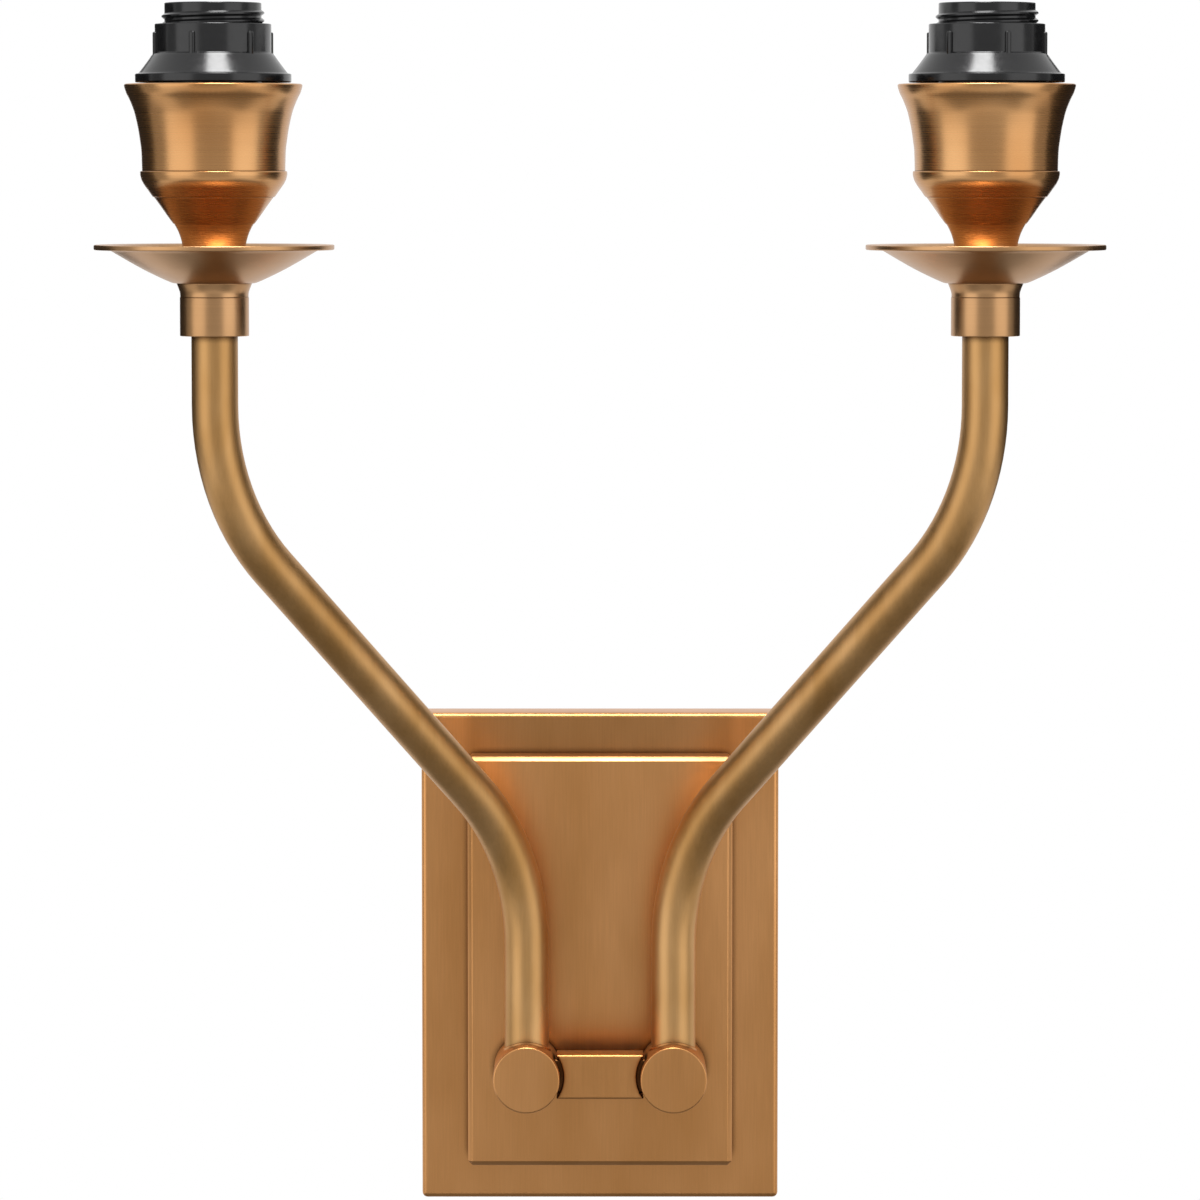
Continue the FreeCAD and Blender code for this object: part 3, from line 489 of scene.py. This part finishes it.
def hand_over(piece, name, body, material, solid):
    """Names a finished piece, dresses it and sets it in the frame in place of its solid."""
    bpy.ops.object.select_all(action="DESELECT")
    piece.select_set(True)
    bpy.context.view_layer.objects.active = piece
    bpy.ops.object.transform_apply(location=True, rotation=True, scale=True)
    bpy.ops.object.shade_smooth_by_angle(angle=SHARP_TURN)
    piece.name = name
    piece.data.name = name
    piece.data.materials.clear()
    piece.data.materials.append(material)
    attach(piece, body)
    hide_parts(solid)


# ---- Backplate ---------------------------------------------------------------------------------

PLATE_WALL = 2.0
PLATE_ROUND = 1.5
PANEL_CHAMFER = 1.3
PANEL_EASE = 0.15
SCREW_HOLE_RADIUS = 3.8
SCREW_HOLE_CUT = 6


def open_backed_box(low, high, edge, segments):
    """A box hollowed from behind, with its front and corner edges chamfered or rounded."""
    box = box_piece(low, high)
    pick(box, "FACE", lambda centre, normal: normal.y > 1 - NEAR)
    bpy.ops.mesh.inset(thickness=PLATE_WALL * MM)
    inwards = (high[Y] - low[Y] - PLATE_WALL) * MM
    bpy.ops.mesh.extrude_region_move(TRANSFORM_OT_translate={"value": (0, -inwards, 0)})

    def outer_edge(first, second):
        at_front = all(abs(end.y - low[Y]) < NEAR for end in (first, second))
        at_corner = all(abs(abs(end.x) - high[X]) < NEAR and abs(end.z) > high[Z] - NEAR
                        for end in (first, second))
        return at_front or at_corner

    pick(box, "EDGE", outer_edge)
    bpy.ops.mesh.bevel(offset=edge * MM, segments=segments, affect="EDGES")
    bpy.ops.object.mode_set(mode="OBJECT")
    return box


plate = open_backed_box(PLATE_LOW, PLATE_HIGH, PLATE_ROUND, segments=5)
for side in SIDES.values():
    combine(plate, rod_piece(SCREW_HOLE_RADIUS, SCREW_HOLE_CUT, (side * PLATE_HIGH[X], SCREW_Y, 0),
                             ALONG_X), "DIFFERENCE")
hand_over(plate, "backplate_box", "fixture", PLATE_BRASS, "canopy_base")

panel = open_backed_box(PANEL_LOW, PANEL_HIGH, PANEL_CHAMFER, segments=1)
ease_edges(panel, PANEL_EASE, segments=2)
hand_over(panel, "backplate_panel", "fixture", PLATE_BRASS, "raised_panel")


# ---- Side screws: slotted cheese heads, sunk in the sides of the backplate ---------------------

SCREW_HEAD_RADIUS = 3.4
SCREW_HEAD = 1.6
SCREW_SUNK = 0.5
SCREW_SHANK_RADIUS = 1.95
SCREW_TIP_CHAMFER = 0.4
SCREW_SLOT = 0.9
SCREW_SLOT_DEPTH = 0.8
SCREW_EASE = 0.18
# How far the form that cuts the slot goes past the head, across it and in front of it
SLOT_CUT_ACROSS = 5
SLOT_CUT_IN_FRONT = 1

for label, side in SIDES.items():
    face = side * (PLATE_HIGH[X] - SCREW_SUNK)
    under = face - side * SCREW_HEAD
    tip = side * SCREW_TIP
    screw = turn([(0, tip), (SCREW_SHANK_RADIUS - SCREW_TIP_CHAMFER, tip),
                  (SCREW_SHANK_RADIUS, tip + side * SCREW_TIP_CHAMFER), (SCREW_SHANK_RADIUS, under),
                  (SCREW_HEAD_RADIUS, under), (SCREW_HEAD_RADIUS, face), (0, face)],
                 (SCREW_Y, 0), "X")
    ends = sorted((face - side * SCREW_SLOT_DEPTH, face + side * SLOT_CUT_IN_FRONT))
    slot_form = box_piece((ends[0], SCREW_Y - SLOT_CUT_ACROSS, -SCREW_SLOT / 2),
                          (ends[1], SCREW_Y + SLOT_CUT_ACROSS, SCREW_SLOT / 2))
    combine(screw, slot_form, "DIFFERENCE")
    ease_edges(screw, SCREW_EASE, segments=2)
    hand_over(screw, "sunk_side_screw_" + label, "side_screw_" + label, ARM_BRASS,
              "side_screw_" + label)


# ---- Hubs and crossbar -------------------------------------------------------------------------

HUB_EASE = 0.45
BRAZE = 0.5
BRAZE_EASE = 0.2
SEAT_HEIGHT = 12
SEAT_DEPTH = 3 * TUBE_RADIUS
BAR_HALF_HEIGHT = 6.35
BAR_DEPTH = 9.5
BAR_RIDGE = 0.3
BAR_EASE = 0.6
HOLLOW_RADIUS = HUB_RADIUS + 1.0
HOLLOW_CUT = 40
# The bar's core lies behind its front, is shorter in depth, and shows in the gap at each hub.
CORE_HALF_HEIGHT = 4.9
CORE_SET_BACK = 1.3
CORE_SHORT = 1
CORE_EASE = 0.8


def brazed_seat(side):
    """The low rim of braze where a tube's foot is saddled on its hub."""
    round_hub = rod_piece(HUB_RADIUS + BRAZE, SEAT_DEPTH, (side * HUB_X, TUBE_SEAT_Y, HUB_Z),
                          ALONG_Y)
    rim = rod_piece(TUBE_RADIUS + BRAZE, SEAT_HEIGHT,
                    (side * HUB_X, TUBE_SEAT_Y, HUB_Z + SEAT_HEIGHT / 2))
    combine(rim, round_hub, "INTERSECT")
    ease_edges(rim, BRAZE_EASE, segments=2)
    return rim


for label, side in SIDES.items():
    hub = turn([(0, HUB_BACK), (HUB_RADIUS, HUB_BACK), (HUB_RADIUS, HUB_FRONT), (0, HUB_FRONT)],
               (side * HUB_X, HUB_Z), "Y")
    ease_edges(hub, HUB_EASE)
    take_in(hub, brazed_seat(side))
    hand_over(hub, "hub_disc_" + label, "fixture", PLATE_BRASS, "hub_" + label)


def middle_of_front(first, second):
    """The line along the middle of the bar's front, which is pulled out to a shallow ridge."""
    return all(abs(end.z - HUB_Z) + abs(end.y - BAR_FRONT) < NEAR for end in (first, second))


bar = box_piece((-HUB_X, BAR_FRONT, HUB_Z - BAR_HALF_HEIGHT),
                (HUB_X, BAR_FRONT + BAR_DEPTH, HUB_Z + BAR_HALF_HEIGHT))
pick(bar, "FACE", lambda centre, normal: True)
bpy.ops.mesh.bisect(plane_co=(0, 0, HUB_Z * MM), plane_no=(0, 0, 1))
pick(bar, "EDGE", middle_of_front)
bpy.ops.transform.translate(value=(0, -BAR_RIDGE * MM, 0))
bpy.ops.object.mode_set(mode="OBJECT")
for side in SIDES.values():
    combine(bar, rod_piece(HOLLOW_RADIUS, HOLLOW_CUT, (side * HUB_X, BAR_FRONT, HUB_Z), ALONG_Y),
            "DIFFERENCE")
ease_edges(bar, BAR_EASE, held_back=False)
core = box_piece((-HUB_X, BAR_FRONT + CORE_SET_BACK, HUB_Z - CORE_HALF_HEIGHT),
                 (HUB_X, BAR_FRONT + BAR_DEPTH - CORE_SHORT, HUB_Z + CORE_HALF_HEIGHT))
ease_edges(core, CORE_EASE)
take_in(bar, core)
hand_over(bar, "saddled_crossbar", "fixture", PLATE_BRASS, "crossbar")


# ---- Lamp heads --------------------------------------------------------------------------------

# Outlines are (radius, height above the piece's foot), measured on the lamp heads. Bores are radii.
NIPPLE_BORE = 5.2
TUBE_BORE = 6.4
COLLAR_SOCKET = 6
NECK_STEP = 0.1
NECK_STRAIGHT = 1.4
NECK_FLARE = 10.3
PAN_UNDER = [(10.4, 0.0), (12.2, 0.35), (19.6, 3.9), (28.3, 8.9)]
PAN_SHEET = 1.4
PAN_DRAWN_IN = 0.45
PAN_FLAT = 9.9
FOOT_NECK = [(8.5, 7.0), (8.75, 9.6), (9.35, 11.7), (10.0, 13.2), (10.75, 14.6)]
FOOT_CONE = [(11.1, 14.8), (12.3, 16.4), (14.6, 19.7), (16.2, 21.9)]
BAND_OUTSIDE = [(16.5, 0.0), (17.83, 1.9), (18.83, 3.3), (19.59, 4.7), (19.95, 6.1)]
BAND_BORE = 16.7
BAND_FLOOR = 2
CUP_OUTSIDE = [(19.45, 0.0), (19.45, 1.2), (19.6, 5.6), (19.95, 8.4), (20.35, 11.1), (20.9, 13.8),
               (21.6, 16.5), (22.7, 19.3), (23.55, 21.0), (24.05, 22.5), (CUP_LIP_RADIUS, 23.3)]
CUP_WALL = 1.2
CUP_LIP_ROUND = 0.35

# Lampholder's sleeve, and its moulded thread in section: (radius, height above the thread's middle)
SLEEVE_BORE = 11.9
SLEEVE_MOUTH = 8.3
SLEEVE_LIP = 1.6
SLEEVE_EASE = 0.3
THREAD_PITCH = 2.1
THREAD_TURNS = 4
THREAD_ROOT = 13.15
THREAD_CREST = 13.93
THREAD_END_BELOW_TOP = 2.2
THREAD_SECTION = [(THREAD_ROOT - 0.1, -0.85), (THREAD_ROOT + 0.4, -0.5), (THREAD_CREST, -0.2),
                  (THREAD_CREST, 0.2), (THREAD_ROOT + 0.4, 0.5), (THREAD_ROOT - 0.1, 0.85)]

# Shade ring: a rim with a skirt, a cone, a collar, and grip ribs on the collar
SKIRT_BORE = 19.4
SKIRT_TOP_BORE = 18.7
RIM_TOP = 2.3
RIM_WALL = 0.9
CONE_MIDDLE_RADIUS = 18.3
CONE_MIDDLE = 2.7
CONE_TOP_RADIUS = 16.3
CONE_TOP = 7.9
CONE_LEDGE = 0.1
CONE_WALL = 1.8
RING_COLLAR = 15.8
RING_BORE = 13.98
RING_EASE = 0.35
RIB_COUNT = 6
RIB_WIDTH = 1.6
RIB_DEPTH = 0.7
RIB_HEIGHT = 6.6
RIB_SUNK = 0.9
RIB_EASE = 0.45
# How far each ring has turned from having a rib right at the front, in degrees
RIB_TURN = 16.9


def raised(points, height):
    """The same outline, set at a height."""
    return [(radius, along + height) for radius, along in points]


def collar(axis):
    """A plain collar with a socket for the tube's end."""
    return turn([(TUBE_BORE, COLLAR_Z), (COLLAR_RADIUS, COLLAR_Z), (COLLAR_RADIUS, COLLAR_TOP),
                 (NIPPLE_BORE, COLLAR_TOP), (NIPPLE_BORE, COLLAR_Z + COLLAR_SOCKET),
                 (TUBE_BORE, COLLAR_Z + COLLAR_SOCKET)], axis)


def neck_ring(axis):
    """The ring under the pan, which flares up to it."""
    flare = smooth_run([(COLLAR_RADIUS - NECK_STEP, COLLAR_TOP),
                        (COLLAR_RADIUS, COLLAR_TOP + NECK_STRAIGHT), (NECK_FLARE, PAN_Z)], steps=4)
    return turn([(NIPPLE_BORE, COLLAR_TOP)] + flare + [(NIPPLE_BORE, PAN_Z)], axis)


def drip_pan(axis):
    """A shallow dish of one sheet, flat in the middle and turned to a straight rim."""
    under = smooth_run(raised(PAN_UNDER, PAN_Z), steps=5)
    over = [(radius - PAN_DRAWN_IN, along + PAN_SHEET) for radius, along in reversed(under[1:])]
    return turn([(NIPPLE_BORE, PAN_Z)] + under
                + [(PAN_RADIUS, PAN_TOP - PAN_SHEET), (PAN_RADIUS, PAN_TOP)]
                + over + [(PAN_FLAT, FOOT_Z), (NIPPLE_BORE, FOOT_Z)], axis)


def cup_foot(axis):
    """A straight neck that widens to a cone."""
    return turn([(NIPPLE_BORE, FOOT_Z), (FOOT_NECK[0][0], FOOT_Z)]
                + smooth_run(raised(FOOT_NECK, FOOT_Z), steps=4)
                + smooth_run(raised(FOOT_CONE, FOOT_Z), steps=4)
                + [(FOOT_CONE[-1][0], BAND_Z), (NIPPLE_BORE, BAND_Z)], axis)


def cup_band(axis):
    """The rounded shoulder between the cup's foot and its shell, with a floor."""
    return turn([(NIPPLE_BORE, BAND_Z)] + smooth_run(raised(BAND_OUTSIDE, BAND_Z), steps=4)
                + [(BAND_OUTSIDE[-1][0], CUP_Z), (BAND_BORE, CUP_Z), (BAND_BORE, BAND_Z + BAND_FLOOR),
                   (NIPPLE_BORE, BAND_Z + BAND_FLOOR)], axis)


def cup_shell(axis):
    """The cup's thin wall, which flares to the lip."""
    outside = smooth_run(raised(CUP_OUTSIDE, CUP_Z), steps=4)
    lip = [(CUP_LIP_RADIUS - CUP_LIP_ROUND, CUP_TOP), (CUP_LIP_RADIUS - CUP_WALL, CUP_TOP)]
    inside = [(radius - CUP_WALL, along) for radius, along in reversed(outside)]
    return turn(outside + lip + inside, axis)


def threaded_sleeve(axis):
    """A sleeve with a right-hand moulded thread, which ends behind the light."""
    sleeve = turn([(SLEEVE_BORE, SLEEVE_Z), (THREAD_ROOT, SLEEVE_Z), (THREAD_ROOT, SLEEVE_TOP),
                   (SLEEVE_MOUTH, SLEEVE_TOP), (SLEEVE_MOUTH, SLEEVE_TOP - SLEEVE_LIP),
                   (SLEEVE_BORE, SLEEVE_TOP - SLEEVE_LIP)], axis)
    ease_edges(sleeve, SLEEVE_EASE)
    start = SLEEVE_TOP - THREAD_END_BELOW_TOP - THREAD_TURNS * THREAD_PITCH
    thread = draw_wire([(axis[0], axis[1] + radius, start + along)
                        for radius, along in THREAD_SECTION])
    merge_doubles()
    # The face tells the screw modifier which way the section looks.
    bpy.ops.mesh.edge_face_add()
    bpy.ops.object.mode_set(mode="OBJECT")
    bpy.context.scene.cursor.location = Vector((axis[0], axis[1], 0)) * MM
    bpy.ops.object.origin_set(type="ORIGIN_CURSOR")
    modify(thread, "SCREW", axis="Z", angle=2 * math.pi, screw_offset=THREAD_PITCH * MM,
           iterations=THREAD_TURNS, steps=ROUND, render_steps=ROUND, use_merge_vertices=True,
           merge_threshold=MERGED * MM)
    bpy.ops.object.mode_set(mode="EDIT")
    merge_doubles()
    bpy.ops.mesh.fill_holes(sides=len(THREAD_SECTION))
    bpy.ops.mesh.normals_make_consistent(inside=False)
    bpy.ops.object.mode_set(mode="OBJECT")
    bpy.ops.object.transform_apply(location=True, rotation=True, scale=True)
    take_in(sleeve, thread)
    return sleeve


def ribbed_ring(axis, side):
    """A shade ring with a skirt and six narrow grip ribs that are rounded at the top."""
    rim = RING_Z + RIM_TOP
    cone = RING_Z + CONE_TOP
    slope = smooth_run([(RING_RADIUS - RIM_WALL, rim + CONE_LEDGE),
                        (CONE_MIDDLE_RADIUS, rim + CONE_MIDDLE),
                        (CONE_TOP_RADIUS, cone - CONE_LEDGE)], steps=3)
    ring = turn([(SKIRT_BORE, RING_Z), (RING_RADIUS, RING_Z), (RING_RADIUS, rim)] + slope
                + [(RING_COLLAR, cone), (RING_COLLAR, RING_TOP), (RING_BORE, RING_TOP),
                   (RING_BORE, cone - CONE_WALL), (SKIRT_TOP_BORE, rim - RIM_WALL),
                   (SKIRT_BORE, rim - RIM_WALL)], axis)
    ease_edges(ring, RING_EASE)
    rib_foot = cone - RIB_SUNK
    for number in range(RIB_COUNT):
        rib = box_piece((axis[0] + RING_COLLAR - RIB_DEPTH, axis[1] - RIB_WIDTH / 2, rib_foot),
                        (axis[0] + RING_COLLAR + RIB_DEPTH, axis[1] + RIB_WIDTH / 2,
                         rib_foot + RIB_HEIGHT))
        ease_edges(rib, RIB_EASE)
        bpy.ops.object.mode_set(mode="EDIT")
        bpy.ops.mesh.select_all(action="SELECT")
        angle = math.radians(360 * (number + 0.5) / RIB_COUNT + side * RIB_TURN)
        # With no window the rotation runs the other way, so the angle is negative.
        bpy.ops.transform.rotate(value=-angle, orient_axis="Z",
                                 center_override=Vector((axis[0], axis[1], 0)) * MM)
        bpy.ops.object.mode_set(mode="OBJECT")
        take_in(ring, rib)
    return ring


# Each lathe piece: how it is made, its name, its solid, how wide its edges are eased in mm, and
# its finish
LATHE_PIECES = (
    (collar, "turned_collar_", "collar_", 0.2, HEAD_BRASS, "satin_brass"),
    (neck_ring, "turned_neck_ring_", "neck_ring_", 0.12, HEAD_BRASS, "satin_brass"),
    (drip_pan, "spun_drip_pan_", "pan_", 0.35, HEAD_BRASS, "satin_brass"),
    (cup_foot, "spun_cup_foot_", "cup_foot_", 0.12, CUP_BRASS, "coppery_brass"),
    (cup_band, "spun_cup_band_", "cup_band_", 0.3, CUP_BRASS, "coppery_brass"),
    (cup_shell, "spun_cup_shell_", "cup_shell_", 0.25, CUP_BRASS, "coppery_brass"))

for label, side in SIDES.items():
    axis = (side * LAMP_X, LAMP_Y)
    for shape, name, solid, ease_mm, brass, slot in LATHE_PIECES:
        piece = shape(axis)
        ease_edges(piece, ease_mm)
        hand_over(piece, name + label, "fixture", brass[label], solid + label)
    hand_over(threaded_sleeve(axis), "threaded_sleeve_" + label, "fixture", PHENOLIC,
              "holder_barrel_" + label)
    hand_over(ribbed_ring(axis, side), "ribbed_shade_ring_" + label, "shade_ring_" + label, PHENOLIC,
              "shade_ring_" + label)


# ---- Floor, light and camera, in metres --------------------------------------------------------

FLOOR_SIZE = 14.0
FLOOR_DROP = 0.9
WHITE = (1, 1, 1, 1)


def seen_white(tree):
    """Light Path's camera, glossy and transmission rays, as one value."""
    path = node(tree, "ShaderNodeLightPath")
    mirrored = node(tree, "ShaderNodeMath", {0: path.outputs["Is Glossy Ray"],
                                             1: path.outputs["Is Transmission Ray"]},
                    operation="MAXIMUM")
    return node(tree, "ShaderNodeMath", {0: path.outputs["Is Camera Ray"], 1: mirrored.outputs[0]},
                operation="MAXIMUM")


bpy.ops.mesh.primitive_plane_add(size=FLOOR_SIZE, location=(0, 0, cad_box[0][Z] - FLOOR_DROP))
floor = bpy.context.active_object
floor.name = "pale_floor"
# A pale matt paint, which the camera and the brass see as plain white.
floor_paint = bare_material("pale_floor_paint")
tree = floor_paint.node_tree
paint = node(tree, "ShaderNodeBsdfPrincipled",
             inputs={"Base Color": colour("#E9E9E7"), "Roughness": 0.9})
white = node(tree, "ShaderNodeEmission", inputs={"Color": WHITE, "Strength": 1.0})
shown = node(tree, "ShaderNodeMixShader", {0: seen_white(tree).outputs[0], 1: paint.outputs[0],
                                           2: white.outputs[0]})
node(tree, "ShaderNodeOutputMaterial", {"Surface": shown.outputs[0]})
floor.data.materials.append(floor_paint)

# The studio's own light grows from the floor to the ceiling.
world = bpy.data.worlds.new("white_studio")
bpy.context.scene.world = world
world.use_nodes = True
tree = world.node_tree
tree.nodes.clear()
direction = node(tree, "ShaderNodeTexCoord")
split = node(tree, "ShaderNodeSeparateXYZ", {"Vector": direction.outputs["Generated"]})
height = node(tree, "ShaderNodeMapRange", {"Value": split.outputs["Z"]},
              inputs={"From Min": -0.6, "From Max": 0.9, "To Min": 0.25, "To Max": 0.85})
studio = node(tree, "ShaderNodeBackground", {"Strength": height.outputs[0]},
              inputs={"Color": WHITE})
white = node(tree, "ShaderNodeBackground", inputs={"Color": WHITE, "Strength": 1.0})
shown = node(tree, "ShaderNodeMixShader", {0: seen_white(tree).outputs[0], 1: studio.outputs[0],
                                           2: white.outputs[0]})
node(tree, "ShaderNodeOutputWorld", {"Surface": shown.outputs[0]})


def face_towards(thing, target):
    """Turns a lamp or card so that its face looks at the target."""
    aim = Vector(target) - thing.location
    thing.rotation_euler = aim.to_track_quat("-Z", "Y").to_euler()


def softbox(name, place, target, width, height, watts):
    """A rectangular lamp at place, turned to target."""
    lamp = bpy.data.lights.new(name, "AREA")
    lamp.shape = "RECTANGLE"
    lamp.size = width
    lamp.size_y = height
    lamp.energy = watts
    holder = bpy.data.objects.new(name, lamp)
    bpy.context.collection.objects.link(holder)
    holder.location = place
    face_towards(holder, target)


def studio_card(name, place, target, width, height, brightness):
    """A card beside the set that only shows in the brass and the phenolic, as in a studio."""
    bpy.ops.mesh.primitive_plane_add(size=1.0, location=place)
    card = bpy.context.active_object
    card.name = name
    card.scale = (width, height, 1)
    face_towards(card, target)
    paint = bare_material(name)
    tree = paint.node_tree
    glow = node(tree, "ShaderNodeEmission", inputs={"Color": WHITE, "Strength": brightness})
    node(tree, "ShaderNodeOutputMaterial", {"Surface": glow.outputs[0]})
    card.data.materials.append(paint)
    card.visible_camera = False
    card.visible_shadow = False
    card.visible_diffuse = False


MIDDLE = (0, -0.05, 0.1)
# The overhead softbox draws the bright lines on the top edges. The front card evens the faces, the
# low card shades what looks down, and the side cards and flags darken the outlines of round pieces.
softbox("overhead_softbox", (0, -0.40, 1.3), MIDDLE, width=0.42, height=0.75, watts=17)
studio_card("grey_front_card", (0, -2.1, -0.3), (0, 0, -0.3), width=2.5, height=3.2,
            brightness=0.62)
studio_card("grey_low_card", (0, -0.3, -0.8), (0, -0.3, 0.1), width=2.4, height=1.9,
            brightness=0.26)
for label, side in SIDES.items():
    softbox(label + "_softbox", (side * 1.15, -0.96, 0.25), MIDDLE, width=1.28, height=1.3,
            watts=3.1)
    studio_card("grey_side_card_" + label, (side * 1.49, -0.16, 0.2), (0, 0, 0.2), width=0.62,
                height=1.5, brightness=0.42)
    studio_card("dark_flag_" + label, (side * 0.27, 0.035, 0.20),
                (side * LAMP_X * MM, LAMP_Y * MM, 0.20), width=0.25, height=0.24,
                brightness=0.03)

CAMERA_DISTANCE = 1.6285
CAMERA_HEIGHT = 0.2279
CAMERA_DIP = math.radians(4.397)
SENSOR_MM = 36.0
LENS_MM = 167.8
SIGHT_END = 50
lens = bpy.data.cameras.new("photo_camera")
lens.sensor_width = SENSOR_MM
lens.sensor_fit = "HORIZONTAL"
lens.lens = LENS_MM
lens.clip_end = SIGHT_END
camera = bpy.data.objects.new("photo_camera", lens)
bpy.context.collection.objects.link(camera)
camera.location = (0, -CAMERA_DISTANCE, CAMERA_HEIGHT)
camera.rotation_euler = (math.pi / 2 - CAMERA_DIP, 0, 0)
bpy.context.scene.camera = camera
bpy.context.scene.view_settings.view_transform = "Standard"
